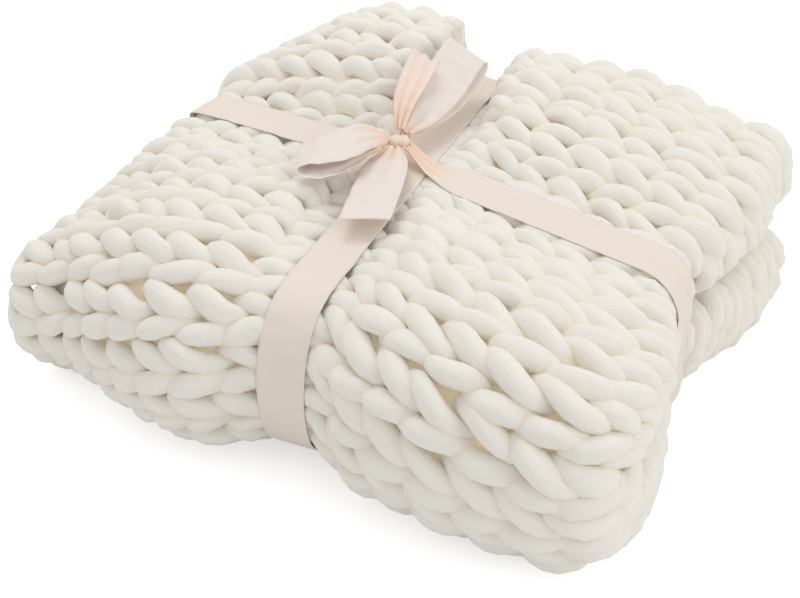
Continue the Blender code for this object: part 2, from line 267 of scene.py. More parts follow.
def laid_cloth(along, across, n):
    """Points of the flat cloth in the bundle; along and across are shares of its half length and width."""
    s = from_table(s_table, across, along) + (along - np.clip(along, -1, 1)) * HALF_LENGTH
    v = from_table(v_table, s / HALF_LENGTH, across) + across - np.clip(across, -1, 1)
    return cloth(s, v, n)


COURSES = 32
WALES = 28
CLOTH_LENGTH = 1.04
CLOTH_WIDTH = 0.96
COURSE = CLOTH_LENGTH / COURSES
WALE = CLOTH_WIDTH / WALES
TIGHTER = 0.12
RINGS = 26
SIDES = 16
LOOP_REACH = 0.0285
LOOP_SWING = 0.0074
LOOP_SKEW = 0.0034
LOOP_DEPTH = 0.0090
LOOP_FRONT = 0.0012
YARN_RADIUS = 0.0089
# How far a stitch strays along the braid, across it and in height, and how much of it varies.
STRAY_ALONG = 0.0028
STRAY_ACROSS = 0.0018
STRAY_HEIGHT = 0.0010
REACH_SPREAD = 0.06
FAT_SPREAD = 0.07
# How far the braids sag forwards on the left and on the right.
SAG_LEFT = 0.045
SAG_RIGHT = 0.035
GRAIN_RUN = 0.023
FLOOR_CLEAR = 0.0004
rng = np.random.default_rng(11)


def uneven(knots, places, spread, axis_count):
    """Smoothly changing seeded differences, one draw a knot, read at places along the knots."""
    draws = rng.normal(0, spread, (axis_count, knots))
    base = np.clip(np.floor(places).astype(int), 0, knots - 2)
    part = places - base
    part = part * part * (3 - 2 * part)
    return draws[:, base] * (1 - part) + draws[:, base + 1] * part


def bend(s, w):
    """The cloth lies a little askew: its braids sag forwards away from the ribbon on both sides."""
    left = smooth(0.25, 0.52, s)
    right = smooth(0.27, 0.0, s) * smooth(-0.1, 0.0, s)
    front_ease = np.cos(math.pi / 2 * np.clip((w - 0.05) / (CLOTH_WIDTH / 2 - 0.05), -1, 1)) ** 2
    back_ease = 1 - np.clip(w / (CLOTH_WIDTH / 2), 0, 1) ** 3
    return w - SAG_LEFT * left * np.where(w > 0.05, back_ease, front_ease) - SAG_RIGHT * right * front_ease


def course_path(j):
    """One course: (s, w, n, radius) of the yarn as it loops through the course before it."""
    t = np.linspace(0, 2 * math.pi * WALES, WALES * RINGS + 1)
    legs = t / math.pi
    reach = LOOP_REACH * (1 + uneven(2 * WALES + 2, legs, REACH_SPREAD, 1)[0])
    shift = uneven(2 * WALES + 2, legs + 0.5, 1.0, 3)
    s = (j + 0.5 - COURSES / 2) * COURSE - reach * np.cos(t) + STRAY_ALONG * shift[0]
    w = WALE * (t / (2 * math.pi) - WALES / 2) + LOOP_SWING * np.sin(2 * t) + STRAY_ACROSS * shift[1]
    w -= LOOP_SKEW * np.cos(t)
    n = LOOP_FRONT - LOOP_DEPTH * np.cos(2 * t) + STRAY_HEIGHT * shift[2]
    fat = 1 + uneven(4 * WALES + 4, 2 * legs + 0.5, FAT_SPREAD, 1)[0]
    radius = YARN_RADIUS * (0.92 - 0.15 * np.cos(2 * t) - 0.06 * np.cos(t)) * np.clip(fat, 0.82, 1.12)
    w = bend(s, w)
    return s, w, n, radius


def knitted(s, w):
    """Shares of the half length and width: the stitches are tighter towards all four edges."""
    s, w = 2 * s / CLOTH_LENGTH, 2 * w / CLOTH_WIDTH
    return s * (1 + TIGHTER - TIGHTER * np.abs(s)), w * (1 + TIGHTER - TIGHTER * np.abs(w))


def inland(s, w):
    """1 inside the cloth, falling to 0 at its edges, where no other yarn stands behind the gaps."""
    return 1 - smooth(0.86, 0.95, np.maximum(np.abs(s), np.abs(w)))


def tube(s, w, n, radius):
    """The yarn's skin round its path: points of each ring, and how far each is tucked into a hollow, which
    sets its painted shade and painted glow.

    Skin is tucked where it lies under the knit face, but not on the back of the cloth or its edges.
    """
    radius = radius * (1 + TIGHTER / 2 - TIGHTER * (np.abs(s) / CLOTH_LENGTH + np.abs(w) / CLOTH_WIDTH))
    s, w = knitted(s, w)
    centre = laid_cloth(s, w, n)
    outward = laid_cloth(s, w, n + 0.002) - laid_cloth(s, w, n - 0.002)
    along = np.gradient(centre, axis=0)
    run = np.concatenate([[0], np.cumsum(np.linalg.norm(np.diff(centre, axis=0), axis=1))])
    along /= np.linalg.norm(along, axis=1)[:, None]
    side = np.cross(along, outward)
    side /= np.linalg.norm(side, axis=1)[:, None]
    up = np.cross(side, along)
    angle = 2 * math.pi * np.arange(SIDES) / SIDES + math.pi
    ring = up[:, None] * np.cos(angle)[None, :, None] + side[:, None] * np.sin(angle)[None, :, None]
    lumps = rng.normal(0, 1, (4, 3))
    grain = run[:, None] / GRAIN_RUN + lumps[0, 0]
    uneven_skin = 1 + 0.075 * np.cos(2 * angle + 0.9 * grain + lumps[1, 0]) + 0.042 * np.cos(
        3 * angle - 1.6 * grain + lumps[2, 0]) + 0.022 * np.cos(angle + 2.7 * grain) + 0.012 * np.cos(
        5 * angle + 3.1 * grain + lumps[3, 0])
    skin = centre[:, None] + (radius[:, None] * uneven_skin)[..., None] * ring
    skin[..., 2] = np.maximum(skin[..., 2], FLOOR_CLEAR)
    deep = n[:, None] + radius[:, None] * np.cos(angle)[None]
    tucked_shade = (1 - smooth(-0.010, 0.009, deep)) * smooth(-0.0150, -0.0085, deep) * inland(s, w)[:, None]
    return skin, tucked_shade, run


# The ribbon's two turns are drawn taut round the cloth, and sink into the yarn they cross.
RIBBON_WIDTH = 0.039
BAND_CLEAR = 0.0011
BAND_BED = 0.0165
PRESSED_HALF = 0.0215
PRESSED_REACH = 0.0300
LIFT_HALF = 0.022
LIFT_REACH = 0.085


def unit(vectors):
    """The vectors at length 1."""
    return vectors / np.maximum(np.linalg.norm(vectors, axis=-1, keepdims=True), 1e-12)


def convex_outline(points):
    """The corners of the convex outline round flat points, in order."""
    ordered = sorted(set(points))
    outline = []
    for walk in (ordered, ordered[::-1]):
        side = []
        for p in walk:
            while len(side) > 1:
                a, b = side[-2], side[-1]
                if (b[0] - a[0]) * (p[1] - a[1]) - (b[1] - a[1]) * (p[0] - a[0]) > 0:
                    break
                side.pop()
            side.append(p)
        outline += side[:-1]
    return outline


def taut_turn(points, middle, along):
    """A taut turn of ribbon round the points: places 2.5 mm apart, and which way is out."""
    side = np.cross(along, (0, 0, 1))
    from_middle = points - middle
    lane = np.abs(from_middle @ side) < RIBBON_WIDTH / 2 + 0.001
    flat = np.column_stack([from_middle[lane] @ along, points[lane, 2]])
    outline = np.array(convex_outline([tuple(p) for p in np.round(flat, 5).tolist()]))
    turns = math.pi - np.radians(np.arange(0, 360, 0.5))
    out = np.column_stack([np.cos(turns), np.sin(turns)])
    route = outline[np.argmax(outline @ out.T, axis=0)] + BAND_CLEAR * out
    route = np.concatenate([route, route[:1]])
    reach = np.concatenate([[0], np.cumsum(np.hypot(*np.diff(route, axis=0).T))])
    count = int(reach[-1] / 0.0025)
    stops = np.arange(count) * reach[-1] / count
    even = np.column_stack([np.interp(stops, reach, route[:, 0]), np.interp(stops, reach, route[:, 1])])
    kernel = np.array([1, 2, 3, 4, 3, 2, 1]) / 16
    even = sum(weight * np.roll(even, k - 3, axis=0) for k, weight in enumerate(kernel))
    place = middle * (1, 1, 0) + even[:, :1] * along + even[:, 1:] * np.array([0, 0, 1.0])
    tangent = unit(np.roll(place, -1, axis=0) - np.roll(place, 1, axis=0))
    return place, np.cross(side, tangent), side


def press_under(skin, place, out, side, middle):
    """Pushes yarn in under a turn of ribbon, easing off past its edges."""
    points = skin.reshape(-1, 3)
    aside = np.abs((points - middle) @ side)
    near = np.flatnonzero(aside < PRESSED_REACH)
    for part in np.array_split(near, max(1, len(near) // 2000)):
        beside = ((points[part] - middle) @ side)[:, None, None] * side
        far = np.linalg.norm(points[part, None] - (place + beside), axis=2)
        k = np.argmin(far, axis=1)
        above = np.sum((points[part] - place[k]) * out[k], axis=1) + BAND_CLEAR
        push = np.maximum(above, 0) * (1 - smooth(PRESSED_HALF, PRESSED_REACH, aside[part]))
        points[part] -= push[:, None] * out[k]


def lift_to(place, out, along, side, middle):
    """Returns what raises the yarn round a turn of ribbon until its top meets the ribbon."""
    lane = np.abs((cloth_skin - middle) @ side) < RIBBON_WIDTH / 2
    top = place[(out[:, 2] > 0.6) & (place[:, 2] > 0.09)]
    top = top[np.argsort((top - middle) @ along)]
    where = (top - middle) @ along
    lane_where = (cloth_skin[lane] - middle) @ along
    lane_z = cloth_skin[lane, 2]
    highest = np.array([lane_z[np.abs(lane_where - a) < 0.012].max() for a in where])
    gap = np.maximum(top[:, 2] - BAND_CLEAR - highest, 0)
    gap = np.convolve(np.pad(gap, 6, mode="edge"), np.ones(13) / 13, mode="valid")

    def lift(points):
        aside = np.abs((points - middle) @ side)
        raised = np.interp((points - middle) @ along, where, gap, left=0, right=0)
        raised = raised * (1 - smooth(LIFT_HALF, LIFT_REACH, aside))
        points[..., 2] += raised * np.clip(points[..., 2] / STACK, 0, 1) ** 2

    return lift


cloth_s, cloth_v = np.meshgrid(np.linspace(-1, 1, 400), np.linspace(-1, 1, 340), indexing="ij")
cloth_skin = laid_cloth(cloth_s, cloth_v, np.full_like(cloth_s, BAND_BED)).reshape(-1, 3)
along_y = unit(np.array([BAND_SLANT, 1.0, 0.0]))
middle_y = np.array([BAND_X, 0, 0]) - MIDDLE
place_y, out_y, side_y = taut_turn(cloth_skin, middle_y, along_y)
along_x = unit(np.array([1.0, BAND_Y_SLANT, 0.0]))
middle_x = np.array([0, BAND_Y, 0]) - MIDDLE
over_band_y = place_y + out_y * BAND_CLEAR
bed_x = np.concatenate([cloth_skin, over_band_y - 0.019 * side_y, over_band_y, over_band_y + 0.019 * side_y])
place_x, out_x, side_x = taut_turn(bed_x, middle_x, along_x)

# Where the yarn nears another stitch its colour gets painted shade, so the closeness of the others is kept
# with each point of its skin. The loops' halves are sorted in four sets by course and side, which keeps a
# loop's half from being its own neighbour.
CLOSE = 0.0032
rows = [course_path(j) for j in range(COURSES)]
skins = [tube(*row) for row in rows]
lift_y = lift_to(place_y, out_y, along_y, side_y, middle_y)
lift_x = lift_to(place_x, out_x, along_x, side_x, middle_x)
for skin, _, _ in skins:
    lift_y(skin)
    lift_x(skin)
    press_under(skin, place_y, out_y, side_y, middle_y)
    press_under(skin, place_x, out_x, side_x, middle_x)
sets = [[], [], [], []]
leg_of_ring = np.minimum(np.arange(WALES * RINGS + 1) * 2 // RINGS, 2 * WALES - 1) % 2
for j, (s, w, n, radius) in enumerate(rows):
    centre = laid_cloth(*knitted(s, w), n)
    for leg in (0, 1):
        own = leg_of_ring == leg
        sets[2 * (j % 2) + leg].append(np.column_stack([centre, radius])[own])
trees = []
for points in sets:
    points = np.concatenate(points)
    tree = KDTree(len(points))
    for k, point in enumerate(points[:, :3].tolist()):
        tree.insert(point, k)
    tree.balance()
    trees.append((tree, points[:, 3].tolist()))


def closeness_shade(skin, j):
    """0 where the skin is clear of other stitches, 1 where it touches one: how much painted shade it gets
    there.
    """
    found = []
    for i, ring in enumerate(skin.tolist()):
        own = 2 * (j % 2) + leg_of_ring[i]
        others = [trees[k] for k in range(4) if k != own]
        for point in ring:
            gap = CLOSE
            for tree, radii in others:
                _, k, far = tree.find(point)
                gap = min(gap, far - radii[k])
            found.append(gap)
    return 1 - smooth(0, CLOSE, np.array(found))


def yarn_piece(name, courses):
    """The courses as one mesh, each a closed tube, with the yarn's own UV map and its painted shade and
    painted glow from tuck and closeness.
    """
    verts, faces, uvs, tuck_shades, close_shades = [], [], [], [], []
    for j in courses:
        skin, tucked_shade, run = skins[j]
        close_shades.extend(closeness_shade(skin, j).tolist())
        rings = len(skin)
        start = len(verts)
        verts.extend(skin.reshape(-1, 3).tolist())
        tuck_shades.extend(tucked_shade.reshape(-1).tolist())
        for i in range(rings - 1):
            for k in range(SIDES):
                a, b = start + i * SIDES + k, start + i * SIDES + (k + 1) % SIDES
                faces.append((a, b, b + SIDES, a + SIDES))
                u, u2 = k / SIDES, (k + 1) / SIDES
                f, f2 = run[i] / 0.06, run[i + 1] / 0.06
                uvs.extend(((u, f), (u2, f), (u2, f2), (u, f2)))
        for i, order in ((0, -1), (rings - 1, 1)):
            faces.append(tuple(start + i * SIDES + k for k in range(SIDES))[::order])
            uvs.extend([(k / SIDES, run[i] / 0.06) for k in range(SIDES)])
    mesh = bpy.data.meshes.new(name)
    mesh.from_pydata(verts, [], faces)
    layer = mesh.uv_layers.new(name="yarn")
    layer.data.foreach_set("uv", np.array(uvs, np.float32).ravel())
    attribute = mesh.attributes.new("painted_shade_and_glow", "FLOAT", "POINT")
    attribute.data.foreach_set("value", np.array(tuck_shades, np.float32))
    attribute = mesh.attributes.new("closeness_shade", "FLOAT", "POINT")
    attribute.data.foreach_set("value", np.array(close_shades, np.float32))
    mesh.shade_smooth()
    mesh.materials.append(wool)
    thing = bpy.data.objects.new(name, mesh)
    bpy.context.collection.objects.link(thing)
    return thing


wool = bpy.data.materials.new("ivory_wool")
wool.use_nodes = True
nodes, links = wool.node_tree.nodes, wool.node_tree.links
shader = nodes["Principled BSDF"]
shader.inputs["Roughness"].default_value = 0.85
shader.inputs["Specular IOR Level"].default_value = 0.2
shader.inputs["Sheen Weight"].default_value = 0.15
shader.inputs["Sheen Roughness"].default_value = 0.5
yarn_uv = nodes.new("ShaderNodeUVMap")
yarn_uv.uv_map = "yarn"
stretch = nodes.new("ShaderNodeMapping")
stretch.inputs["Scale"].default_value = (26, 3.2, 1)
links.new(yarn_uv.outputs["UV"], stretch.inputs["Vector"])
fibres = nodes.new("ShaderNodeTexNoise")
fibres.noise_dimensions = "2D"
fibres.inputs["Scale"].default_value = 1.0
fibres.inputs["Detail"].default_value = 5
fibres.inputs["Roughness"].default_value = 0.6
links.new(stretch.outputs["Vector"], fibres.inputs["Vector"])
bump = nodes.new("ShaderNodeBump")
bump.inputs["Strength"].default_value = 0.55
bump.inputs["Distance"].default_value = 0.0016
links.new(fibres.outputs["Fac"], bump.inputs["Height"])
links.new(bump.outputs["Normal"], shader.inputs["Normal"])
# Painted shade: the wool is warmed and darkened where its skin is tucked into a hollow or nears another
# stitch.
painted_shade_and_glow = nodes.new("ShaderNodeAttribute")
painted_shade_and_glow.attribute_name = "painted_shade_and_glow"
close_shade_node = nodes.new("ShaderNodeAttribute")
close_shade_node.attribute_name = "closeness_shade"
touch_shade = nodes.new("ShaderNodeMath")
touch_shade.operation = "MULTIPLY"
touch_shade.inputs[1].default_value = 0.45
links.new(close_shade_node.outputs["Fac"], touch_shade.inputs[0])
painted_shade_amount = nodes.new("ShaderNodeMath")
painted_shade_amount.operation = "MAXIMUM"
links.new(painted_shade_and_glow.outputs["Fac"], painted_shade_amount.inputs[0])
links.new(touch_shade.outputs["Value"], painted_shade_amount.inputs[1])
painted_crevice_shade = nodes.new("ShaderNodeMix")
painted_crevice_shade.data_type = "RGBA"
painted_crevice_shade.inputs["A"].default_value = (0.93, 0.90, 0.835, 1)
painted_crevice_shade.inputs["B"].default_value = (0.91, 0.82, 0.64, 1)
links.new(painted_shade_amount.outputs["Value"], painted_crevice_shade.inputs["Factor"])
links.new(painted_crevice_shade.outputs["Result"], shader.inputs["Base Color"])
# Painted light: a warm glow painted into the tucked gaps between the stitches, standing in for light that
# comes through the white wool.
painted_gap_glow = nodes.new("ShaderNodeMix")
painted_gap_glow.data_type = "RGBA"
painted_gap_glow.inputs["A"].default_value = (0, 0, 0, 1)
painted_gap_glow.inputs["B"].default_value = (1.0, 0.84, 0.60, 1)
links.new(painted_shade_and_glow.outputs["Fac"], painted_gap_glow.inputs["Factor"])
links.new(painted_gap_glow.outputs["Result"], shader.inputs["Emission Color"])
shader.inputs["Emission Strength"].default_value = 0.2

GROUPS = 4
knit = []
for g in range(GROUPS):
    courses = range(g * COURSES // GROUPS, (g + 1) * COURSES // GROUPS)
    piece = yarn_piece(f"knit_courses_{g + 1}", courses)
    knit.append(piece)

# A plain backing inside the cloth, behind the stitches, which stops short of its edges.
GROUND_LINES, GROUND_COLUMNS = 150, 130
GROUND_REACH = 0.955
s_grid = np.linspace(-GROUND_REACH, GROUND_REACH, GROUND_LINES)
v_grid = np.linspace(-GROUND_REACH, GROUND_REACH, GROUND_COLUMNS)
ss, vv = np.meshgrid(s_grid, v_grid, indexing="ij")
ground_points = laid_cloth(ss, vv, np.full_like(ss, -0.001))
lift_y(ground_points)
lift_x(ground_points)
press_under(ground_points, place_y, out_y, side_y, middle_y)
press_under(ground_points, place_x, out_x, side_x, middle_x)
ground_faces = []
for i in range(GROUND_LINES - 1):
    for k in range(GROUND_COLUMNS - 1):
        a = i * GROUND_COLUMNS + k
        ground_faces.append((a, a + 1, a + GROUND_COLUMNS + 1, a + GROUND_COLUMNS))
ground_mesh = bpy.data.meshes.new("knit_ground")
ground_mesh.from_pydata(ground_points.reshape(-1, 3).tolist(), [], ground_faces)
# Painted shade and painted glow over the whole backing, fading out towards the cloth's edges.
ground_painted_shade = ground_mesh.attributes.new("painted_shade_and_glow", "FLOAT", "POINT")
ground_painted_shade.data.foreach_set("value", (0.75 * inland(ss, vv)).astype(np.float32).ravel())
ground_mesh.uv_layers.new(name="yarn")
ground_mesh.shade_smooth()
ground_mesh.materials.append(wool)
ground = bpy.data.objects.new("knit_ground", ground_mesh)
bpy.context.collection.objects.link(ground)

for piece in [ground, *knit]:
    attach(piece, "root")
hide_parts("blanket")

# ---------------------------------------------------------------------------
# The ribbon: one length of soft woven ribbon, 39 mm wide with a thin corded
# edge, passed round the bundle front to back and left to right and tied on top.
RIBBON_THICK = 0.0005
COLUMNS = 17
ACROSS = np.linspace(-1, 1, COLUMNS)
SAG_CLEAR = 0.0009
SAG_LIMIT = 0.0095
PLEATS = 5
PLEAT_DEPTH = 0.30
PLEAT_LEAN = 0.4
PLEAT_LEAN_RUN = 0.02
# Slight ripples: how long each is along the ribbon, and how fast it turns across it.
RIPPLES = ((0.031, 1.1), (0.017, 2.3), (0.052, 3.6), (0.011, 1.9))

satin = bpy.data.materials.new("blush_ribbon")
satin.use_nodes = True
nodes, links = satin.node_tree.nodes, satin.node_tree.links
shader = nodes["Principled BSDF"]
shader.inputs["Roughness"].default_value = 0.5
shader.inputs["Specular IOR Level"].default_value = 0.3
shader.inputs["Sheen Weight"].default_value = 0.2
shader.inputs["Sheen Roughness"].default_value = 0.4
ribbon_uv = nodes.new("ShaderNodeUVMap")
ribbon_uv.uv_map = "ribbon"
parts = nodes.new("ShaderNodeSeparateXYZ")
links.new(ribbon_uv.outputs["UV"], parts.inputs["Vector"])
weave = None
for turn in (45, -45):
    thread_map = nodes.new("ShaderNodeMapping")
    thread_map.inputs["Rotation"].default_value = (0, 0, math.radians(turn))
    links.new(ribbon_uv.outputs["UV"], thread_map.inputs["Vector"])
    threads = nodes.new("ShaderNodeTexWave")
    threads.inputs["Scale"].default_value = 11.0
    threads.inputs["Distortion"].default_value = 0.4
    links.new(thread_map.outputs["Vector"], threads.inputs["Vector"])
    if weave is None:
        weave = threads
    else:
        woven = nodes.new("ShaderNodeMath")
        woven.operation = "MULTIPLY"
        links.new(weave.outputs["Fac"], woven.inputs[0])
        links.new(threads.outputs["Fac"], woven.inputs[1])
from_middle = nodes.new("ShaderNodeMath")
from_middle.operation = "SUBTRACT"
from_middle.inputs[1].default_value = 0.5
links.new(parts.outputs["X"], from_middle.inputs[0])
edge_run = nodes.new("ShaderNodeMath")
edge_run.operation = "ABSOLUTE"
links.new(from_middle.outputs["Value"], edge_run.inputs[0])
edge = nodes.new("ShaderNodeMapRange")
edge.inputs["From Min"].default_value = 0.462
edge.inputs["From Max"].default_value = 0.475
links.new(edge_run.outputs["Value"], edge.inputs["Value"])
cloudy = nodes.new("ShaderNodeTexNoise")
cloudy.inputs["Scale"].default_value = 2.5
links.new(ribbon_uv.outputs["UV"], cloudy.inputs["Vector"])
blush = nodes.new("ShaderNodeMix")
blush.data_type = "RGBA"
blush.inputs["A"].default_value = (0.87, 0.765, 0.675, 1)
blush.inputs["B"].default_value = (0.90, 0.805, 0.725, 1)
links.new(cloudy.outputs["Fac"], blush.inputs["Factor"])
# Painted light: the loops and tails are painted paler, as if light came through them, and the creases get
# painted orange shade and a faint painted glow.
lit_node = nodes.new("ShaderNodeAttribute")
lit_node.attribute_name = "lit"
painted_lit_paler = nodes.new("ShaderNodeMix")
painted_lit_paler.data_type = "RGBA"
painted_lit_paler.inputs["B"].default_value = (0.885, 0.80, 0.745, 1)
links.new(lit_node.outputs["Fac"], painted_lit_paler.inputs["Factor"])
links.new(blush.outputs["Result"], painted_lit_paler.inputs["A"])
crease_shade_node = nodes.new("ShaderNodeAttribute")
crease_shade_node.attribute_name = "crease_shade"
painted_crease_shade = nodes.new("ShaderNodeMix")
painted_crease_shade.data_type = "RGBA"
painted_crease_shade.inputs["B"].default_value = (0.93, 0.70, 0.55, 1)
links.new(crease_shade_node.outputs["Fac"], painted_crease_shade.inputs["Factor"])
links.new(painted_lit_paler.outputs["Result"], painted_crease_shade.inputs["A"])
edged = nodes.new("ShaderNodeMix")
edged.data_type = "RGBA"
edged.inputs["B"].default_value = (0.95, 0.86, 0.79, 1)
links.new(edge.outputs["Result"], edged.inputs["Factor"])
links.new(painted_crease_shade.outputs["Result"], edged.inputs["A"])
links.new(edged.outputs["Result"], shader.inputs["Base Color"])
painted_crease_glow = nodes.new("ShaderNodeMix")
painted_crease_glow.data_type = "RGBA"
painted_crease_glow.inputs["A"].default_value = (0, 0, 0, 1)
painted_crease_glow.inputs["B"].default_value = (1.0, 0.62, 0.38, 1)
links.new(crease_shade_node.outputs["Fac"], painted_crease_glow.inputs["Factor"])
links.new(painted_crease_glow.outputs["Result"], shader.inputs["Emission Color"])
shader.inputs["Emission Strength"].default_value = 0.10
relief = nodes.new("ShaderNodeMath")
relief.operation = "ADD"
links.new(woven.outputs["Value"], relief.inputs[0])
links.new(edge.outputs["Result"], relief.inputs[1])
bump = nodes.new("ShaderNodeBump")
bump.inputs["Strength"].default_value = 0.25
bump.inputs["Distance"].default_value = 0.0004
links.new(relief.outputs["Value"], bump.inputs["Height"])
links.new(bump.outputs["Normal"], shader.inputs["Normal"])


def sag_onto(surface, place, out, side, width):
    """How far each point of a turn of ribbon sinks between the stitches that it crosses."""
    tangent = unit(np.cross(out, side))
    gaps = np.full((len(place), COLUMNS), SAG_LIMIT + SAG_CLEAR)
    for i in range(len(place)):
        from_place = surface - place[i]
        forward = from_place @ tangent[i]
        height = from_place @ out[i]
        near = (np.abs(forward) < 0.003) & (height > -0.02) & (height < 0.004)
        offset, height = from_place[near] @ side, height[near]
        for k, at in enumerate(ACROSS * width[i] / 2):
            under = height[np.abs(offset - at) < 0.003]
            if len(under):
                gaps[i, k] = min(gaps[i, k], -under.max())
    low = np.min([np.roll(gaps, shift, axis=0) for shift in range(-2, 3)], axis=0)
    low = np.pad(low, ((0, 0), (2, 2)), mode="edge")
    low = np.min([low[:, k:k + COLUMNS] for k in range(5)], axis=0)
    low = np.mean([np.roll(low, shift, axis=0) for shift in range(-3, 4)], axis=0)
    sag = np.clip(low - SAG_CLEAR, 0, SAG_LIMIT)
    return sag * (0.35 + 0.65 * ACROSS ** 2)


def ribbon_strip(name, middle, across, out, width, lit, closed=False, crush=0.0004, sag=0.0):
    """Ribbon along its middle line, gathered in pleats where it is narrower than it was woven.

    lit is 1 where the strip is painted paler, as if light came through it, and 0 where it lies on
    the yarn, and sag is how far its points sink below the taut line.
    """
    count = len(middle)
    step = np.linalg.norm(np.diff(middle, axis=0), axis=1)
    run = np.concatenate([[0], np.cumsum(step)])
    pleat = PLEAT_DEPTH * np.sqrt(np.maximum(RIBBON_WIDTH ** 2 - width ** 2, 0)) / PLEATS
    wander = rng.uniform(0, 2 * math.pi, 8)
    lean = PLEAT_LEAN * np.sin(run[:, None] / PLEAT_LEAN_RUN + wander[0])
    fold = np.cos(math.pi * (PLEATS / 2 * ACROSS[None] + lean)) * pleat[:, None]
    for k, (long_wave, cross_wave) in enumerate(RIPPLES):
        lengthwise = np.sin(2 * math.pi * run[:, None] / long_wave + wander[k])
        crosswise = np.cos(cross_wave * ACROSS[None] + wander[k + 4])
        fold = fold + crush * (1.2 - 0.25 * k) * lengthwise * crosswise
    gathered = 1 - smooth(0.35, 0.95, width / RIBBON_WIDTH)[:, None]
    # Painted shade: the valleys of the gathered pleats get a darker orange tone and a faint painted glow.
    crease_shade = gathered * (0.45 + 0.55 * smooth(0.2, -1.0, fold / np.maximum(pleat[:, None], 1e-4)))
    if closed:
        ends = np.minimum(run, run[-1] - run)
        fold *= smooth(0, 0.02, ends)[:, None]
    fold = fold - sag
    points = (middle[:, None] + across[:, None] * (ACROSS[None, :, None] * width[:, None, None] / 2)
              + out[:, None] * fold[..., None])
    verts = points.reshape(-1, 3)
    faces, uvs = [], []
    for i in range(count if closed else count - 1):
        nxt = (i + 1) % count
        f, f2 = run[i] / RIBBON_WIDTH, (run[i + 1] if i + 1 < count else run[i] + 0.0025) / RIBBON_WIDTH
        for k in range(COLUMNS - 1):
            faces.append((i * COLUMNS + k, i * COLUMNS + k + 1, nxt * COLUMNS + k + 1, nxt * COLUMNS + k))
            u, u2 = k / (COLUMNS - 1), (k + 1) / (COLUMNS - 1)
            uvs.extend(((u, f), (u2, f), (u2, f2), (u, f2)))
    mesh = bpy.data.meshes.new(name)
    mesh.from_pydata(verts.tolist(), [], faces)
    layer = mesh.uv_layers.new(name="ribbon")
    layer.data.foreach_set("uv", np.array(uvs, np.float32).ravel())
    for tone, values in (("crease_shade", crease_shade), ("lit", np.full_like(crease_shade, lit))):
        attribute = mesh.attributes.new(tone, "FLOAT", "POINT")
        attribute.data.foreach_set("value", values.astype(np.float32).ravel())
    mesh.shade_smooth()
    mesh.materials.append(satin)
    thing = bpy.data.objects.new(name, mesh)
    bpy.context.collection.objects.link(thing)
    bpy.context.view_layer.objects.active = thing
    thickness = thing.modifiers.new("thickness", "SOLIDIFY")
    thickness.thickness = RIBBON_THICK
    thickness.offset = 0
    bpy.ops.object.modifier_apply(modifier="thickness")
    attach(thing, "root")
    return thing, float(run[-1])


start = int(np.argmin(np.abs(place_y[:, 1]) + (place_y[:, 2] > 0.08)))
place_y, out_y = np.roll(place_y, -start, axis=0), np.roll(out_y, -start, axis=0)
yarn_surface = np.concatenate([skin.reshape(-1, 3) for skin, _, _ in skins])
full_width = np.full(len(place_y), RIBBON_WIDTH)
under_y = yarn_surface[np.abs((yarn_surface - middle_y) @ side_y) < RIBBON_WIDTH / 2 + 0.003]
sag_y = sag_onto(under_y, place_y, out_y, side_y, full_width)
band_y, length_y = ribbon_strip("tie_front_to_back", place_y, np.tile(side_y, (len(place_y), 1)), out_y,
                                full_width, 0.0, closed=True, crush=0.00015, sag=sag_y)
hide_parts("ribbon_band_y")

# The knot: the ribbon's two ends crossed and drawn tight, small and creased.
knot_low, knot_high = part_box("ribbon_knot")
KNOT = np.array((knot_low + knot_high) / 2)
KNOT_SIZE = np.array([0.017, 0.016, 0.011])
bpy.ops.mesh.primitive_uv_sphere_add(segments=72, ring_count=36, radius=0.5, location=(0, 0, 0))
knot = bpy.context.object
knot.name = "tie_knot"
knot_points = np.array([vert.co for vert in knot.data.vertices])
round_x = np.arctan2(knot_points[:, 2], knot_points[:, 1])
waist = 1 - 0.22 * np.exp(-(knot_points[:, 0] / 0.16) ** 2)
creases = 1 + 0.07 * np.cos(17 * knot_points[:, 0] * 2 + 1.5 * np.sin(2 * round_x))
creases += 0.03 * np.cos(3 * round_x)
knot_points[:, 1:] *= (waist * creases)[:, None]
knot_turn = math.radians(25)
knot_points *= KNOT_SIZE
turned = knot_points.copy()
turned[:, 0] = knot_points[:, 0] * math.cos(knot_turn) - knot_points[:, 1] * math.sin(knot_turn)
turned[:, 1] = knot_points[:, 0] * math.sin(knot_turn) + knot_points[:, 1] * math.cos(knot_turn)
knot.data.vertices.foreach_set("co", (turned + KNOT).astype(np.float32).ravel())
knot.data.uv_layers[0].name = "ribbon"
# Painted shade and painted glow in the knot's creases.
knot_crease_shade = knot.data.attributes.new("crease_shade", "FLOAT", "POINT")
knot_crease_shade.data.foreach_set("value", smooth(1.05, 0.90, creases).astype(np.float32))
knot.data.shade_smooth()
knot.data.materials.append(satin)
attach(knot, "root")
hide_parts("ribbon_knot")

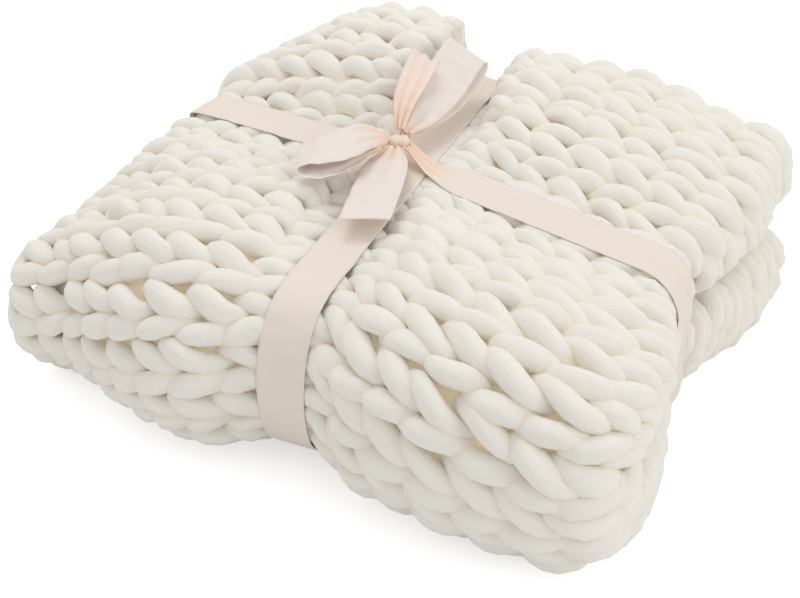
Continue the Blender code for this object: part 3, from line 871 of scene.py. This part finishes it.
# The turn from left to right comes out of the knot on both sides, gathered.
GATHERED = 0.011
GATHER_RUN = 0.070
KNOT_REACH = KNOT_SIZE[0] / 2 - 0.002
on_top = place_x[:, 2] > 0.09
first = int(np.argmin(np.where(on_top, np.abs(place_x[:, 0] - KNOT[0]), 1)))
place_x, out_x = np.roll(place_x, -first, axis=0), np.roll(out_x, -first, axis=0)
from_knot = np.where(place_x[:, 2] > 0.09, np.abs(place_x[:, 0] - KNOT[0]), GATHER_RUN)
keep = from_knot >= KNOT_REACH
place_x, out_x, from_knot = place_x[keep], out_x[keep], from_knot[keep]
free = smooth(KNOT_REACH, GATHER_RUN, from_knot)
lift = 1 - smooth(KNOT_REACH, GATHER_RUN / 2, from_knot)
crossing_y = BAND_Y - MIDDLE[1] + BAND_Y_SLANT * (KNOT[0] + MIDDLE[0])
place_x[:, 1] += (KNOT[1] - crossing_y) * (1 - free)
place_x[:, 2] += (KNOT[2] - 0.003 - place_x[:, 2]) * lift
under_x = np.concatenate([yarn_surface, [vert.co for vert in band_y.data.vertices]])
under_x = under_x[np.abs((under_x - middle_x) @ side_x) < RIBBON_WIDTH / 2 + 0.003]
width_x = GATHERED + (RIBBON_WIDTH - GATHERED) * free
sag_x = sag_onto(under_x, place_x, out_x, side_x, width_x) * free[:, None]
band_x, length_x = ribbon_strip("tie_left_to_right", place_x, np.tile(side_x, (len(place_x), 1)), out_x,
                                width_x, 0.0, crush=0.00015, sag=sag_x)
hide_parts("ribbon_band_x")

# The bow: rows along each strip give its place from the knot, its width there, and the way its
# width lies, as a turn from +X and a tilt up from the level.
LOOP_LEFT = (
    # x, y, z, width, turn, tilt
    (-0.008, -0.007, 0.003, 0.010, 132, 0),
    (-0.013, -0.024, 0.012, 0.028, 128, 10),
    (-0.020, -0.048, 0.016, 0.038, 126, 14),
    (-0.037, -0.065, 0.013, 0.039, 124, 4),
    (-0.050, -0.075, 0.008, 0.039, 122, -3),
    (-0.042, -0.079, 0.003, 0.039, 122, -3),
    (-0.022, -0.063, 0.003, 0.036, 122, 0),
    (-0.011, -0.032, 0.003, 0.024, 126, 0),
    (-0.010, -0.009, 0.000, 0.009, 132, 0),
)
LOOP_BACK = (
    (-0.001, 0.010, 0.003, 0.012, 7, -10),
    (0.000, 0.032, 0.012, 0.034, 12, -24),
    (0.001, 0.072, 0.019, 0.039, 14, -30),
    (-0.002, 0.118, 0.029, 0.039, 14, -32),
    (-0.002, 0.130, 0.027, 0.039, 14, -32),
    (0.000, 0.120, 0.020, 0.039, 14, -32),
    (0.003, 0.072, 0.011, 0.038, 14, -28),
    (0.002, 0.032, 0.005, 0.026, 12, -16),
    (-0.001, 0.010, 0.000, 0.010, 7, 0),
)
TAIL_FRONT = (
    (0.001, -0.010, -0.001, 0.012, 15, 0),
    (0.005, -0.030, -0.005, 0.034, 20, 0),
    (0.018, -0.068, -0.005, 0.039, 24, 0),
    (0.033, -0.113, -0.005, 0.039, 26, 0),
)
TAIL_BACK = (
    (-0.004, 0.007, 0.007, 0.008, 14, -10),
    (-0.009, 0.024, 0.023, 0.018, 14, -20),
    (-0.014, 0.052, 0.033, 0.024, 14, -20),
    (-0.018, 0.079, 0.040, 0.026, 14, -20),
)


def curve_through(table, parts):
    """Rows at parts, 0 to 1, of the smooth curve through a table's rows."""
    table = np.array(table)
    place = parts * (len(table) - 1)
    k = np.minimum(place.astype(int), len(table) - 2)
    t = (place - k)[:, None]
    a, b, c, d = (table[np.clip(k + i, 0, len(table) - 1)] for i in (-1, 0, 1, 2))
    return 0.5 * (2 * b + (c - a) * t + (2 * a - 5 * b + 4 * c - d) * t ** 2
                  + (3 * b - a - 3 * c + d) * t ** 3)


def bow_strip(name, node, table, steps, crush):
    """A loop or tail of the bow."""
    rows = curve_through(table, np.linspace(0, 1, steps))
    middle = KNOT + rows[:, :3]
    turn, tilt = np.radians(rows[:, 4]), np.radians(rows[:, 5])
    across = np.column_stack([np.cos(turn) * np.cos(tilt), np.sin(turn) * np.cos(tilt), np.sin(tilt)])
    out = unit(np.cross(across, np.gradient(middle, axis=0)))
    strip, length = ribbon_strip(name, middle, across, out, rows[:, 3], 1.0, crush=crush)
    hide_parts(node)
    return strip


bow_strip("bow_loop_left", "ribbon_loop_left", LOOP_LEFT, 70, 0.0005)
bow_strip("bow_loop_back", "ribbon_loop_back", LOOP_BACK, 120, 0.0006)
bow_strip("bow_tail_front", "ribbon_tail_front", TAIL_FRONT, 50, 0.0005)
bow_strip("bow_tail_back", "ribbon_tail_back", TAIL_BACK, 40, 0.0004)
